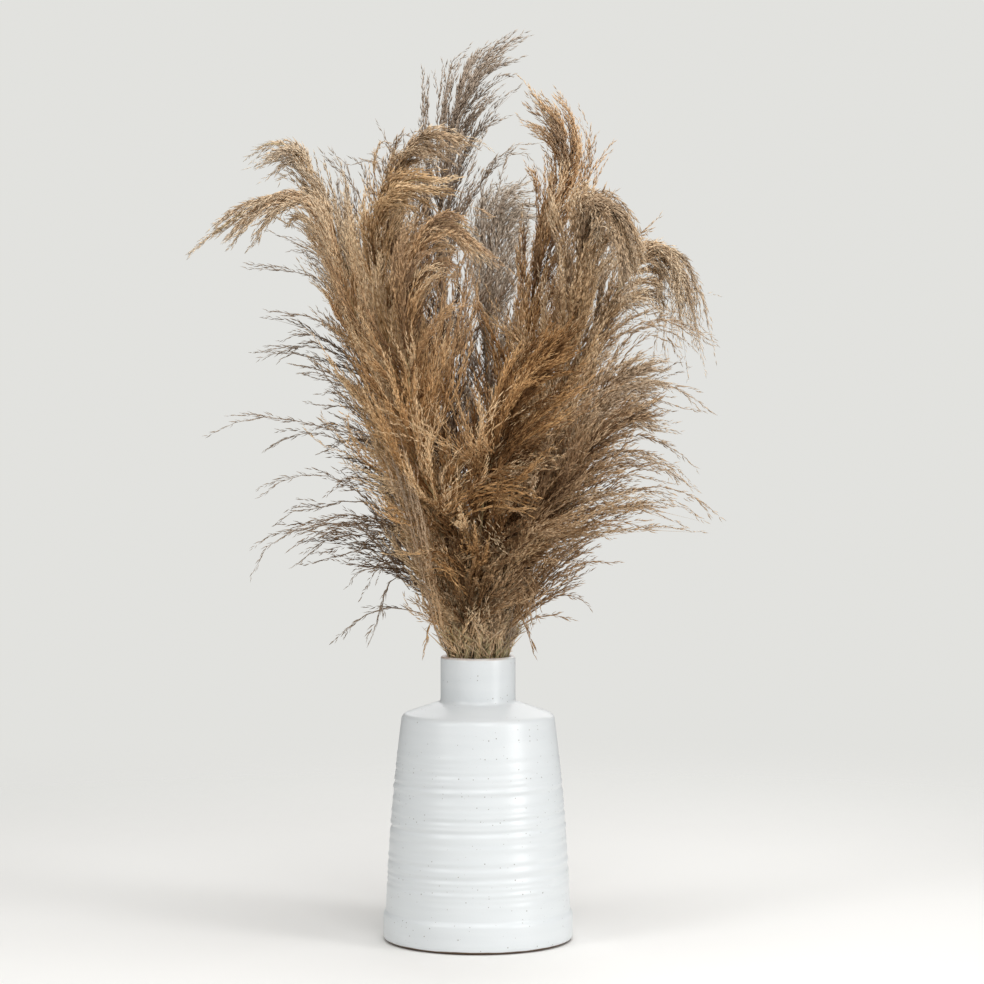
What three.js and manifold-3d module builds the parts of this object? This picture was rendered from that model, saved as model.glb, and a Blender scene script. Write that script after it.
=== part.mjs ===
// A vase of pampas grass: a wheel-thrown stoneware bottle that holds a loose bunch of dried plumes.
// Millimetres, +Z up. The origin is the centre of the vase's flat underside, where it stands.
// Seen from the front, +X is to the right and +Y is away from the viewer.

import * as THREE from 'three';
import { mergeVertices } from 'three/addons/utils/BufferGeometryUtils.js';
import Module from 'manifold-3d';

const wasm = await Module();
wasm.setup();

// Vase
const VASE_HEIGHT = 285;
const BASE_RADIUS = 95;
const BASE_EDGE = 6;
const FOOT_HEIGHT = 28;
const FOOT_STEP = 2.5;
const BELLY_RADIUS = 88.5;
const BELLY_HEIGHT = 132;
const SHOULDER_RADIUS = 77;
const SHOULDER_HEIGHT = 226;
const SHOULDER_EDGE = 8;
const NECK_RADIUS = 37.5;
const NECK_FOOT_HEIGHT = 238;
const NECK_FILLET = 5;
const WALL = 6;
const FLOOR = 8;
const VASE_SIDES = 32;
const ARC_STEPS = 3;
const GLAZE_COLOUR = 0xe3e6e5;
const GLAZE_ROUGHNESS = 0.4;

// Stems: rulings of one hyperboloid, as in a bunch that is spiralled in the hand. They stand on the
// vase's floor, cross half-way up the neck and bear on its lip.
const STEM_RADIUS_FOOT = 2.8;
const STEM_RADIUS_TOP = 2.4;
const STEM_SIDES = 6;
const STEM_TOP = 297;
const STEM_COLOUR = 0x8f8261;
const STEM_ROUGHNESS = 0.7;
const RING_RADIUS = 27.8;
const RING_HEIGHT = 262;
const RING_START = -60;
const STEM_TILT = 0.22;
const TOUCH_GAP = 0.3;

// Plumes: where the bunch opens out above the mouth
const EVEN_HEIGHT = 318;
const FAN_HEIGHT = 400;
const FAN_RADIUS = 50;

// A plume's body is a tapering brush, given as shares of its full radius from its foot to its tip.
// Its locks are tufts that stand out of the body, spread round it by the golden ratio: near the foot
// over the side that faces out of the bunch, and further up all round.
const BODY_SHAPE = [0, 0.35, 0.7, 0.92, 1, 0.98, 0.88, 0.7, 0.45, 0];
const BODY_SIDES = 6;
const LOCK_RADII = [3.5, 6.5, 0];
const LOCK_SIDES = 3;
const LOCK_COUNT = 17;
const FIRST_LOCK = 0.04;
const LAST_LOCK = 0.97;
const GOLDEN_SHARE = 0.618034;
const FOOT_FAN = 130;
const FULL_FAN = 360;
const FULL_FAN_FROM = 0.6;
const FOOT_OPENING = 1.5;
const TIP_OPENING = 0.6;
const TIP_LENGTH = 0.3;
const LONGEST_LOCK_AT = 0.3;
const CLEARANCE = 0.8;
const LOWEST_LOCK = VASE_HEIGHT + 9;
const SHORTENINGS = [1, 0.82, 0.66, 0.5];
const PLUME_ROUGHNESS = 0.9;

// Each kind of plume: its colour, its body's full radius, the length of its longest locks, how far
// in degrees they spread and which share of their length they sag
const KINDS = {
  golden: { colour: 0xa67c51, body: 24, reach: 105, spread: 24, sag: 0.1 },
  tan: { colour: 0x9e7f5a, body: 24, reach: 105, spread: 28, sag: 0.18 },
  taupe: { colour: 0x7b6853, body: 19, reach: 190, spread: 46, sag: 0.25 },
  brown: { colour: 0x88704f, body: 19, reach: 150, spread: 44, sag: 0.15 },
  grey: { colour: 0xb3a28e, body: 16, reach: 125, spread: 40, sag: 0.14 },
};

// The plumes in their order round the mouth. A route gives the points that a plume's spine passes
// above the height where the bunch fans out, up to its tip.
const PLUMES = [
  {
    name: 'right_droop',
    kind: 'tan',
    route: [
      [72, 30, 492], [107, 42, 580], [147, 50, 661],
      [182, 52, 698], [209, 52, 692], [225, 51, 669],
    ],
  },
  {
    name: 'back_right',
    kind: 'taupe',
    route: [
      [66, 84, 500], [92, 120, 600], [112, 150, 680],
      [128, 176, 725], [142, 206, 728],
    ],
  },
  {
    name: 'right_tall',
    kind: 'golden',
    route: [
      [42, 8, 510], [56, 8, 620], [74, 6, 711],
      [86, 4, 766], [79, 0, 804], [55, -4, 840],
    ],
  },
  {
    name: 'back_low',
    kind: 'golden',
    route: [
      [24, 124, 480], [32, 162, 540], [40, 200, 582],
      [48, 238, 590],
    ],
  },
  {
    name: 'centre_back',
    kind: 'grey',
    route: [
      [10, 70, 502], [8, 86, 593], [12, 98, 673],
      [18, 106, 729], [30, 110, 759], [44, 112, 768],
    ],
  },
  {
    name: 'back_left',
    kind: 'tan',
    route: [
      [-40, 116, 500], [-64, 152, 600], [-84, 182, 675],
      [-98, 210, 708], [-112, 240, 700],
    ],
  },
  {
    name: 'tall_back',
    kind: 'taupe',
    route: [
      [-22, 48, 503], [-36, 56, 603], [-41, 62, 711],
      [-31, 66, 793], [-16, 66, 843], [3, 66, 877],
      [28, 64, 892],
    ],
  },
  {
    name: 'left_fan',
    kind: 'taupe',
    route: [
      [-74, 68, 492], [-106, 86, 583], [-130, 100, 663],
      [-145, 108, 721], [-152, 114, 759],
    ],
  },
  {
    name: 'left_hook',
    kind: 'tan',
    route: [
      [-78, 30, 520], [-114, 22, 630], [-145, 14, 706],
      [-169, 8, 766], [-190, 2, 794], [-219, -4, 792],
    ],
  },
  {
    name: 'upper_curl',
    kind: 'tan',
    route: [
      [-48, 2, 502], [-68, -12, 603], [-82, -30, 703],
      [-78, -46, 768], [-48, -66, 798], [-10, -84, 789],
    ],
  },
  {
    name: 'left_arch',
    kind: 'golden',
    route: [
      [-90, -40, 540], [-118, -55, 620], [-143, -62, 692],
      [-172, -66, 736], [-218, -66, 727], [-264, -64, 700],
    ],
  },
  {
    name: 'left_curl',
    kind: 'tan',
    route: [
      [-62, -50, 482], [-80, -66, 563], [-94, -80, 643],
      [-97, -92, 711], [-78, -108, 748], [-38, -122, 755],
    ],
  },
  {
    name: 'front_curl',
    kind: 'golden',
    route: [
      [-54, -82, 472], [-66, -108, 560], [-62, -130, 640],
      [-40, -146, 691], [-4, -160, 703],
    ],
  },
  {
    name: 'front_low',
    kind: 'golden',
    route: [
      [8, -92, 462], [28, -118, 523], [54, -140, 571],
      [84, -156, 601],
    ],
  },
  {
    name: 'right_low',
    kind: 'brown',
    route: [
      [80, -62, 452], [112, -70, 497], [142, -76, 525],
      [168, -80, 537],
    ],
  },
  {
    name: 'right_curl',
    kind: 'tan',
    route: [
      [60, -34, 510], [90, -46, 610], [106, -54, 694],
      [118, -60, 732], [138, -68, 716], [156, -74, 664],
    ],
  },
  {
    name: 'right_fan',
    kind: 'brown',
    route: [
      [86, -18, 480], [114, -28, 528], [140, -34, 562],
      [166, -38, 582],
    ],
  },
];

const UP = new THREE.Vector3(0, 1, 0);
const object = new THREE.Group();

function addMesh(name, geometry, colour, roughness) {
  const material = new THREE.MeshStandardMaterial({ color: colour, roughness, metalness: 0 });
  const mesh = new THREE.Mesh(geometry, material);
  mesh.name = name;
  object.add(mesh);
  return mesh;
}

// The vase's section: up the outside from the middle of the underside, over the lip and down the inside.
function vaseSection() {
  const slope = (NECK_FOOT_HEIGHT - SHOULDER_HEIGHT) / (SHOULDER_RADIUS - NECK_RADIUS - NECK_FILLET);
  const slopeStart = SHOULDER_HEIGHT + slope * SHOULDER_EDGE;
  const section = new THREE.Path();
  section.moveTo(0, 0);
  section.lineTo(BASE_RADIUS - BASE_EDGE, 0);
  section.absarc(BASE_RADIUS - BASE_EDGE, BASE_EDGE, BASE_EDGE, -Math.PI / 2, 0);
  section.lineTo(BASE_RADIUS, FOOT_HEIGHT - FOOT_STEP);
  section.lineTo(BASE_RADIUS - FOOT_STEP, FOOT_HEIGHT + FOOT_STEP);
  section.quadraticCurveTo(BELLY_RADIUS, BELLY_HEIGHT, SHOULDER_RADIUS, SHOULDER_HEIGHT - SHOULDER_EDGE);
  section.quadraticCurveTo(SHOULDER_RADIUS, SHOULDER_HEIGHT, SHOULDER_RADIUS - SHOULDER_EDGE, slopeStart);
  section.lineTo(NECK_RADIUS + NECK_FILLET, NECK_FOOT_HEIGHT);
  section.quadraticCurveTo(NECK_RADIUS, NECK_FOOT_HEIGHT, NECK_RADIUS, NECK_FOOT_HEIGHT + NECK_FILLET);
  section.lineTo(NECK_RADIUS, VASE_HEIGHT - WALL / 2);
  section.absarc(NECK_RADIUS - WALL / 2, VASE_HEIGHT - WALL / 2, WALL / 2, 0, Math.PI);
  section.lineTo(NECK_RADIUS - WALL, NECK_FOOT_HEIGHT - WALL);
  section.lineTo(SHOULDER_RADIUS - SHOULDER_EDGE, slopeStart - WALL);
  section.lineTo(SHOULDER_RADIUS - WALL, SHOULDER_HEIGHT - WALL - SHOULDER_EDGE);
  section.quadraticCurveTo(BELLY_RADIUS - WALL, BELLY_HEIGHT, BASE_RADIUS - FOOT_STEP - WALL, FOOT_HEIGHT);
  section.lineTo(BASE_RADIUS - BASE_EDGE - 2 * WALL, FLOOR);
  section.lineTo(0, FLOOR);
  return section;
}

// A round strand along a curve, with a radius for each of its equal steps. It is a lathe whose
// vertices are carried from its straight axis to the curve.
function strandGeometry(curve, radii, sides) {
  const steps = radii.length - 1;
  const outline = [new THREE.Vector2(0, 0)];
  radii.forEach((radius, step) => outline.push(new THREE.Vector2(radius, step)));
  const lathe = new THREE.LatheGeometry(outline, sides);
  const { tangents, normals } = curve.computeFrenetFrames(steps);
  const position = lathe.getAttribute('position');
  const point = new THREE.Vector3();
  for (let i = 0; i < position.count; i += 1) {
    const step = Math.round(position.getY(i));
    const across = normals[step];
    const beside = across.clone().cross(tangents[step]);
    curve.getPointAt(step / steps, point);
    point.addScaledVector(across, position.getX(i));
    point.addScaledVector(beside, position.getZ(i));
    position.setXYZ(i, point.x, point.y, point.z);
  }
  return lathe;
}

function toManifold(geometry) {
  const bare = geometry.clone();
  bare.deleteAttribute('normal');
  bare.deleteAttribute('uv');
  const merged = mergeVertices(bare);
  const corners = merged.index.array;
  const triVerts = [];
  for (let i = 0; i < corners.length; i += 3) {
    const [a, b, c] = corners.slice(i, i + 3);
    if (a !== b && b !== c && c !== a) {
      triVerts.push(a, b, c);
    }
  }
  return new wasm.Manifold(new wasm.Mesh({
    numProp: 3,
    vertProperties: merged.getAttribute('position').array,
    triVerts: new Uint32Array(triVerts),
  }));
}

function toGeometry(manifold) {
  const mesh = manifold.getMesh();
  const geometry = new THREE.BufferGeometry();
  geometry.setAttribute('position', new THREE.BufferAttribute(mesh.vertProperties, 3));
  geometry.setIndex(new THREE.BufferAttribute(mesh.triVerts, 1));
  return geometry;
}

function straightSteps(curve, steps) {
  const points = Array.from({ length: steps + 1 }, (unused, step) => curve.getPointAt(step / steps));
  return points.slice(1).map((point, step) => new THREE.Line3(points[step], point));
}

// The capsules that a strand fills: one for each of its steps, with the larger of the radii at its ends.
function capsulesOf(curve, radii, owner) {
  return straightSteps(curve, radii.length - 1).map((line, step) => ({
    line,
    radius: Math.max(radii[step], radii[step + 1]),
    owner,
  }));
}

function isClear(capsules, others) {
  return capsules.every((mine) => others.every((other) => {
    if (other.owner === mine.owner) {
      return true;
    }
    const apart = mine.radius + other.radius + CLEARANCE;
    return mine.line.distanceSqToLine3(other.line) > apart * apart;
  }));
}

// A point on the stem at one place of the ring: each stem leans along the ring, not outwards.
function onStem(place, travel, height) {
  const x = RING_RADIUS * Math.cos(place) - travel * Math.sin(place);
  const y = RING_RADIUS * Math.sin(place) + travel * Math.cos(place);
  return new THREE.Vector3(x, y, height);
}

function stemAt(place, height) {
  return onStem(place, STEM_TILT * (height - RING_HEIGHT), height);
}

function addStem(plume) {
  const foot = stemAt(plume.place, FLOOR + TOUCH_GAP + STEM_RADIUS_FOOT * STEM_TILT);
  const top = stemAt(plume.place, STEM_TOP);
  const length = foot.distanceTo(top);
  const geometry = new THREE.CylinderGeometry(STEM_RADIUS_TOP, STEM_RADIUS_FOOT, length, STEM_SIDES);
  const stem = addMesh(`stem_${plume.name}`, geometry, STEM_COLOUR, STEM_ROUGHNESS);
  stem.position.lerpVectors(foot, top, 0.5);
  stem.quaternion.setFromUnitVectors(UP, top.clone().sub(foot).normalize());
}

function spineCurve(plume) {
  const fanTravel = Math.sqrt(FAN_RADIUS ** 2 - RING_RADIUS ** 2);
  const points = [
    stemAt(plume.place, STEM_TOP + TOUCH_GAP),
    stemAt(plume.place, EVEN_HEIGHT),
    onStem(plume.place, fanTravel, FAN_HEIGHT),
  ];
  plume.route.forEach(([x, y, z]) => points.push(new THREE.Vector3(x, y, z)));
  return new THREE.CatmullRomCurve3(points);
}

// A body's radii: its kind's shape, held to half of the way to the nearest other plume.
function bodyRadii(plume) {
  const others = PLUMES.filter((other) => other !== plume).flatMap((other) => other.lines);
  const room = plume.lines.map((line) => {
    const nearest = Math.min(...others.map((other) => line.distanceSqToLine3(other)));
    return (Math.sqrt(nearest) - CLEARANCE) / 2;
  });
  const last = room.length;
  return BODY_SHAPE.map((share, step) => {
    const wanted = Math.max(share * KINDS[plume.kind].body, step === 0 ? STEM_RADIUS_TOP : 0);
    return Math.min(wanted, room[Math.max(step - 1, 0)], room[Math.min(step, last - 1)]);
  });
}

// A point on the body's own straight steps, which cut the corners of its curve a little.
function insideBody(plume, along) {
  const place = along * plume.lines.length;
  const line = plume.lines[Math.floor(place)];
  return line.at(place % 1, new THREE.Vector3());
}

// A lock leaves the spine at its kind's spread, turned round the spine, and sags towards its tip.
function lockCurve(plume, along, turn, share) {
  const { reach, spread, sag } = KINDS[plume.kind];
  const { degToRad, lerp, smoothstep } = THREE.MathUtils;
  const root = insideBody(plume, along);
  const forward = plume.curve.getTangentAt(along);
  const outward = new THREE.Vector3(root.x, root.y, 0).projectOnPlane(forward).normalize();
  const fan = lerp(FOOT_FAN, FULL_FAN, smoothstep(along, 0, FULL_FAN_FROM));
  const side = outward.applyAxisAngle(forward, degToRad(fan) * (turn - 0.5));
  const opening = degToRad(spread * lerp(FOOT_OPENING, TIP_OPENING, along));
  const length = reach * share * lerp(1, TIP_LENGTH, smoothstep(along, LONGEST_LOCK_AT, 1));
  const way = forward.multiplyScalar(Math.cos(opening)).addScaledVector(side, Math.sin(opening));
  const middle = root.clone().addScaledVector(way, length / 2);
  const tip = root.clone().addScaledVector(way, length);
  tip.z -= sag * length;
  return new THREE.QuadraticBezierCurve3(root, middle, tip);
}

function growLock(plume, count, strands) {
  const along = THREE.MathUtils.lerp(FIRST_LOCK, LAST_LOCK, count / (LOCK_COUNT - 1));
  for (const share of SHORTENINGS) {
    const curve = lockCurve(plume, along, (count * GOLDEN_SHARE) % 1, share);
    const capsules = capsulesOf(curve, LOCK_RADII, plume.name);
    const isHigh = capsules.every(({ line }) => line.end.z > LOWEST_LOCK);
    if (isHigh && isClear(capsules, strands)) {
      strands.push(...capsules);
      plume.solid = plume.solid.add(toManifold(strandGeometry(curve, LOCK_RADII, LOCK_SIDES)));
      return;
    }
  }
}

const vase = new THREE.LatheGeometry(vaseSection().getPoints(ARC_STEPS), VASE_SIDES);
vase.rotateX(Math.PI / 2);
addMesh('vase', vase, GLAZE_COLOUR, GLAZE_ROUGHNESS);

// All bodies stand first, then the locks grow a round at a time, each only where it has room.
const strands = [];
PLUMES.forEach((plume, index) => {
  plume.place = THREE.MathUtils.degToRad(RING_START + (360 / PLUMES.length) * index);
  plume.curve = spineCurve(plume);
  plume.lines = straightSteps(plume.curve, BODY_SHAPE.length - 1);
  addStem(plume);
});
PLUMES.forEach((plume) => {
  const radii = bodyRadii(plume);
  plume.solid = toManifold(strandGeometry(plume.curve, radii, BODY_SIDES));
  strands.push(...capsulesOf(plume.curve, radii, plume.name));
});
for (let count = 0; count < LOCK_COUNT; count += 1) {
  PLUMES.forEach((plume) => growLock(plume, count, strands));
}
PLUMES.forEach((plume) => {
  addMesh(`plume_${plume.name}`, toGeometry(plume.solid), KINDS[plume.kind].colour, PLUME_ROUGHNESS);
});

export default object;
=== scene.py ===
import math

import bpy
import numpy as np
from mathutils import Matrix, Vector


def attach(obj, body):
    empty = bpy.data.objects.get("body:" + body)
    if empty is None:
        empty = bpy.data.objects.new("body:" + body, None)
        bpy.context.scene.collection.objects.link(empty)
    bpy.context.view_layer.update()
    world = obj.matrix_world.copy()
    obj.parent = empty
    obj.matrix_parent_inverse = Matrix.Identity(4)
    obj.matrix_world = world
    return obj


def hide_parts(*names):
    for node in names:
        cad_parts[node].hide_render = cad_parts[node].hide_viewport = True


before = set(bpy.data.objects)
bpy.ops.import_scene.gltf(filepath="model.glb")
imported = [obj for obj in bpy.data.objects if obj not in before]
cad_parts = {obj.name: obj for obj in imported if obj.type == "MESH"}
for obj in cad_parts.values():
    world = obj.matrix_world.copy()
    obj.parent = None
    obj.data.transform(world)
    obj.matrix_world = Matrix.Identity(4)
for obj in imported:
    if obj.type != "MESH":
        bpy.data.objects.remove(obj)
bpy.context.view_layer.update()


# Vase. A bottle thrown from stoneware on the wheel, with a short straight neck and a foot band that stands
# a little proud. The potter's finger rings run round its wall under a speckled satin glaze, which is wiped
# off the edge that it stands on and thins to brown on the lip.
VASE_HEIGHT = 0.285
BASE_RADIUS = 0.095
BASE_EDGE = 0.006
FOOT_HEIGHT = 0.028
FOOT_STEP = 0.0025
BELLY_RADIUS = 0.0885
BELLY_HEIGHT = 0.132
SHOULDER_RADIUS = 0.077
SHOULDER_HEIGHT = 0.226
SHOULDER_EDGE = 0.0055
NECK_RADIUS = 0.0375
NECK_FOOT_HEIGHT = 0.238
NECK_FILLET = 0.005
WALL = 0.006
FLOOR = 0.008
VASE_SIDES = 90
FINGER_PITCH = 0.0112
FINE_PITCH = 0.0063
FINGER_DEPTH = 0.00056
FINGERS_FROM = 0.036
FINGERS_FULL = 0.062
FINGERS_FADE = 0.160
FINGERS_TO = 0.206
FINE_WANDER = 0.8
FINE_WANDER_WAVE = 97
SWELL = 0.3
SWELL_WAVE = 231
GLAZE_WHITE = (0.715, 0.741, 0.753, 1)
GLAZE_SHADE = (0.64, 0.671, 0.686, 1)
IRON_SPECK = (0.20, 0.165, 0.135, 1)
BARE_CLAY = (0.115, 0.07, 0.042, 1)
LIP_BROWN = (0.42, 0.27, 0.18, 1)
LIP_BAND = (0.0026, 0.0010)
CLAY_BAND = (0.0028, 0.0022)
CLAY_WAVER = 0.0006
SATIN = (0.29, 0.36)
CLAY_ROUGHNESS = 0.85
SPECK_SCALE = 270
SPECK_SIZES = (0.01, 0.2)
SPOT_SCALE = 62
SPOT_LARGEST = 0.075
SPECK_STRENGTH = 0.68
SKIN_SCALE = 420
SKIN_DEPTH = 0.0006


def straight_run(start, end, steps):
    share = np.linspace(0, 1, steps + 1)[1:, None]
    return np.array(start) * (1 - share) + np.array(end) * share


def round_run(start, corner, end, steps):
    share = np.linspace(0, 1, steps + 1)[1:, None]
    return (
        np.array(start) * (1 - share) ** 2
        + np.array(corner) * 2 * share * (1 - share)
        + np.array(end) * share**2
    )


def follow_section(first, turns):
    runs = [np.array([first])]
    for turn in turns:
        start = runs[-1][-1]
        if len(turn) == 3:
            runs.append(round_run(start, *turn))
        else:
            runs.append(straight_run(start, *turn))
    return np.concatenate(runs)


def smooth_step(value, low, high):
    share = np.clip((value - low) / (high - low), 0, 1)
    return share * share * (3 - 2 * share)


def new_piece(name, vertices, faces):
    mesh = bpy.data.meshes.new(name)
    mesh.from_pydata(vertices.tolist(), [], faces)
    mesh.polygons.foreach_set("use_smooth", np.ones(len(mesh.polygons), bool))
    piece = bpy.data.objects.new(name, mesh)
    bpy.context.scene.collection.objects.link(piece)
    return piece


lip_low = VASE_HEIGHT - WALL / 2
shoulder_slope = (NECK_FOOT_HEIGHT - SHOULDER_HEIGHT) / (SHOULDER_RADIUS - NECK_RADIUS - NECK_FILLET)
slope_start = SHOULDER_HEIGHT + shoulder_slope * SHOULDER_EDGE
outside = follow_section(
    (BASE_RADIUS * 0.5, 0),
    [
        ((BASE_RADIUS - BASE_EDGE, 0), 2),
        ((BASE_RADIUS, 0), (BASE_RADIUS, BASE_EDGE), 6),
        ((BASE_RADIUS, FOOT_HEIGHT - FOOT_STEP), 5),
        ((BASE_RADIUS, FOOT_HEIGHT), (BASE_RADIUS - FOOT_STEP, FOOT_HEIGHT + FOOT_STEP), 4),
        ((BELLY_RADIUS, BELLY_HEIGHT), (SHOULDER_RADIUS, SHOULDER_HEIGHT - SHOULDER_EDGE), 136),
        ((SHOULDER_RADIUS, SHOULDER_HEIGHT), (SHOULDER_RADIUS - SHOULDER_EDGE, slope_start), 6),
        ((NECK_RADIUS + NECK_FILLET, NECK_FOOT_HEIGHT), 4),
        ((NECK_RADIUS, NECK_FOOT_HEIGHT), (NECK_RADIUS, NECK_FOOT_HEIGHT + NECK_FILLET), 5),
        ((NECK_RADIUS, lip_low), 6),
        ((NECK_RADIUS, VASE_HEIGHT), (NECK_RADIUS - WALL / 2, VASE_HEIGHT), 4),
    ],
)
inside = follow_section(
    outside[-1],
    [
        ((NECK_RADIUS - WALL, VASE_HEIGHT), (NECK_RADIUS - WALL, lip_low), 4),
        ((NECK_RADIUS - WALL, NECK_FOOT_HEIGHT - WALL), 4),
        ((SHOULDER_RADIUS - SHOULDER_EDGE, slope_start - WALL), 3),
        ((SHOULDER_RADIUS - WALL, SHOULDER_HEIGHT - WALL - SHOULDER_EDGE), 2),
        ((BELLY_RADIUS - WALL, BELLY_HEIGHT), (BASE_RADIUS - FOOT_STEP - WALL, FOOT_HEIGHT), 8),
        ((BASE_RADIUS - BASE_EDGE - 2 * WALL, FLOOR), 2),
        ((BASE_RADIUS * 0.5, FLOOR), 1),
    ],
)[1:]
section = np.concatenate([outside, inside])
turns = np.linspace(0, 2 * math.pi, VASE_SIDES, endpoint=False)
height = np.repeat(section[:, 1:], VASE_SIDES, axis=1)
radius = np.repeat(section[:, :1], VASE_SIDES, axis=1)


def press_of(mean, change, wave, wander, twist):
    """How hard the potter's fingers press, which comes and goes up the wall and round it."""
    return mean + change * np.sin(height * wave + wander * np.sin(turns + height * twist))


rise = smooth_step(height, FINGERS_FROM, FINGERS_FULL) * (1 - smooth_step(height, FINGERS_FADE, FINGERS_TO))
spiral = 2 * math.pi * height / FINGER_PITCH - turns
fine_spiral = 2 * math.pi * height / FINE_PITCH - turns + FINE_WANDER * np.sin(height * FINE_WANDER_WAVE)
finger_press = press_of(mean=0.6, change=0.4, wave=173, wander=0.9, twist=40)
fine_press = press_of(mean=0.35, change=0.25, wave=119, wander=1.1, twist=-55)
slow_swell = np.sin(height * SWELL_WAVE - turns) * SWELL
marks = np.sin(spiral) * finger_press + np.sin(fine_spiral) * fine_press + slow_swell
fingers = FINGER_DEPTH * rise * marks
fingers[len(outside):] = 0
radius = radius + fingers
rings = np.stack([radius * np.cos(turns), radius * np.sin(turns), height], axis=-1).reshape(-1, 3)
ring_count = len(section)
vase_vertices = np.concatenate([rings, [[0, 0, 0], [0, 0, FLOOR]]])
under_centre = len(rings)
floor_centre = len(rings) + 1
vase_faces = []
for side in range(VASE_SIDES):
    beside = (side + 1) % VASE_SIDES
    vase_faces.append((under_centre, beside, side))
    last_ring = (ring_count - 1) * VASE_SIDES
    vase_faces.append((floor_centre, last_ring + side, last_ring + beside))
    for ring in range(ring_count - 1):
        low = ring * VASE_SIDES
        high = low + VASE_SIDES
        vase_faces.append((low + side, low + beside, high + beside, high + side))
vase = new_piece("thrown_vase", vase_vertices, vase_faces)


def new_finish(name, roughness):
    finish = bpy.data.materials.new(name)
    finish.use_nodes = True
    shader = finish.node_tree.nodes["Principled BSDF"]
    shader.inputs["Roughness"].default_value = roughness
    return finish, shader


def set_inputs(owner, node, inputs):
    """Sets a node's inputs in a material or world: a socket is linked, any other value is set as it is."""
    for key, value in inputs.items():
        if isinstance(value, bpy.types.NodeSocket):
            owner.node_tree.links.new(value, node.inputs[key])
        else:
            node.inputs[key].default_value = value


def add_node(owner, kind, inputs=None, **settings):
    node = owner.node_tree.nodes.new(kind)
    for key, value in settings.items():
        setattr(node, key, value)
    set_inputs(owner, node, inputs or {})
    return node


def mix_colours(finish, share, first, second):
    inputs = {0: share, 6: first, 7: second}
    return add_node(finish, "ShaderNodeMix", inputs, data_type="RGBA").outputs[2]


def rescale(finish, value, low, high, to_low=0, to_high=1, smooth=False):
    kind = "SMOOTHSTEP" if smooth else "LINEAR"
    inputs = {"Value": value, "From Min": low, "From Max": high, "To Min": to_low, "To Max": to_high}
    return add_node(finish, "ShaderNodeMapRange", inputs, interpolation_type=kind).outputs[0]


def noise(finish, place, scale, detail):
    inputs = {"Vector": place, "Scale": scale, "Detail": detail}
    return add_node(finish, "ShaderNodeTexNoise", inputs).outputs["Fac"]


def stretch(finish, place, scale):
    return add_node(finish, "ShaderNodeMapping", {"Vector": place, "Scale": scale}).outputs[0]


def bump(finish, strength, depth, height):
    inputs = {"Strength": strength, "Distance": depth, "Height": height}
    return add_node(finish, "ShaderNodeBump", inputs).outputs[0]


def calculate(finish, operation, first, second):
    return add_node(finish, "ShaderNodeMath", {0: first, 1: second}, operation=operation).outputs[0]


glaze, glaze_shader = new_finish("speckled_glaze", 0.32)
place = add_node(glaze, "ShaderNodeTexCoord").outputs["Object"]
glaze_height = add_node(glaze, "ShaderNodeSeparateXYZ", {0: place}).outputs["Z"]
cloud = noise(glaze, place, scale=26, detail=3)
band = noise(glaze, stretch(glaze, place, (3, 3, 30)), scale=4, detail=2)


def scattered(scale):
    """Cells over the glaze, as the distance from each cell's middle and two values that the cell draws."""
    cells = add_node(glaze, "ShaderNodeTexVoronoi", {"Vector": place, "Scale": scale, "Randomness": 1})
    drawn = add_node(glaze, "ShaderNodeSeparateColor", {0: cells.outputs["Color"]})
    return cells.outputs["Distance"], drawn.outputs["Red"], drawn.outputs["Green"]


speck_distance, speck_value, _ = scattered(SPECK_SCALE)
speck_crowd = rescale(glaze, band, 0.36, 0.62, 0.35, 1)
speck_draw = calculate(glaze, "MULTIPLY", speck_value, speck_crowd)
speck_size = rescale(glaze, speck_draw, 0.2, 0.8, *SPECK_SIZES)
speck_edge = calculate(glaze, "SUBTRACT", speck_size, speck_distance)
specks = rescale(glaze, speck_edge, 0.0, 0.05)
spot_distance, _, spot_value = scattered(SPOT_SCALE)
spot_size = rescale(glaze, spot_value, 0.6, 1, 0, SPOT_LARGEST)
spot_edge = calculate(glaze, "SUBTRACT", spot_size, spot_distance)
spots = rescale(glaze, spot_edge, 0.0, 0.03)
all_specks = calculate(glaze, "MULTIPLY", calculate(glaze, "MAXIMUM", specks, spots), SPECK_STRENGTH)
shade_share = rescale(glaze, band, 0.3, 0.75, 0, 0.35)
glaze_tone = mix_colours(glaze, shade_share, GLAZE_WHITE, GLAZE_SHADE)
speckled = mix_colours(glaze, all_specks, glaze_tone, IRON_SPECK)
lip_share = rescale(glaze, glaze_height, VASE_HEIGHT - LIP_BAND[0], VASE_HEIGHT - LIP_BAND[1], 0, 0.85)
lip_broken = calculate(glaze, "MULTIPLY", lip_share, rescale(glaze, cloud, 0.3, 0.6))
lipped = mix_colours(glaze, lip_broken, speckled, LIP_BROWN)
clay_waver = rescale(glaze, cloud, 0.3, 0.7, -CLAY_WAVER, CLAY_WAVER)
clay_share = rescale(glaze, calculate(glaze, "ADD", glaze_height, clay_waver), *CLAY_BAND)
glaze_colour = mix_colours(glaze, clay_share, lipped, BARE_CLAY)
satin = rescale(glaze, cloud, 0.3, 0.7, *SATIN)
glaze_rough = add_node(glaze, "ShaderNodeMix", {0: clay_share, 2: satin, 3: CLAY_ROUGHNESS}).outputs[0]
skin = noise(glaze, place, SKIN_SCALE, detail=2)
speck_dents = calculate(glaze, "MULTIPLY", all_specks, 0.6)
skin_height = calculate(glaze, "SUBTRACT", skin, speck_dents)
skin_bump = bump(glaze, 0.10, SKIN_DEPTH, skin_height)
set_inputs(glaze, glaze_shader, {"Base Color": glaze_colour, "Roughness": glaze_rough, "Normal": skin_bump})
vase.data.materials.append(glaze)
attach(vase, "root")
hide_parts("vase")


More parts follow.
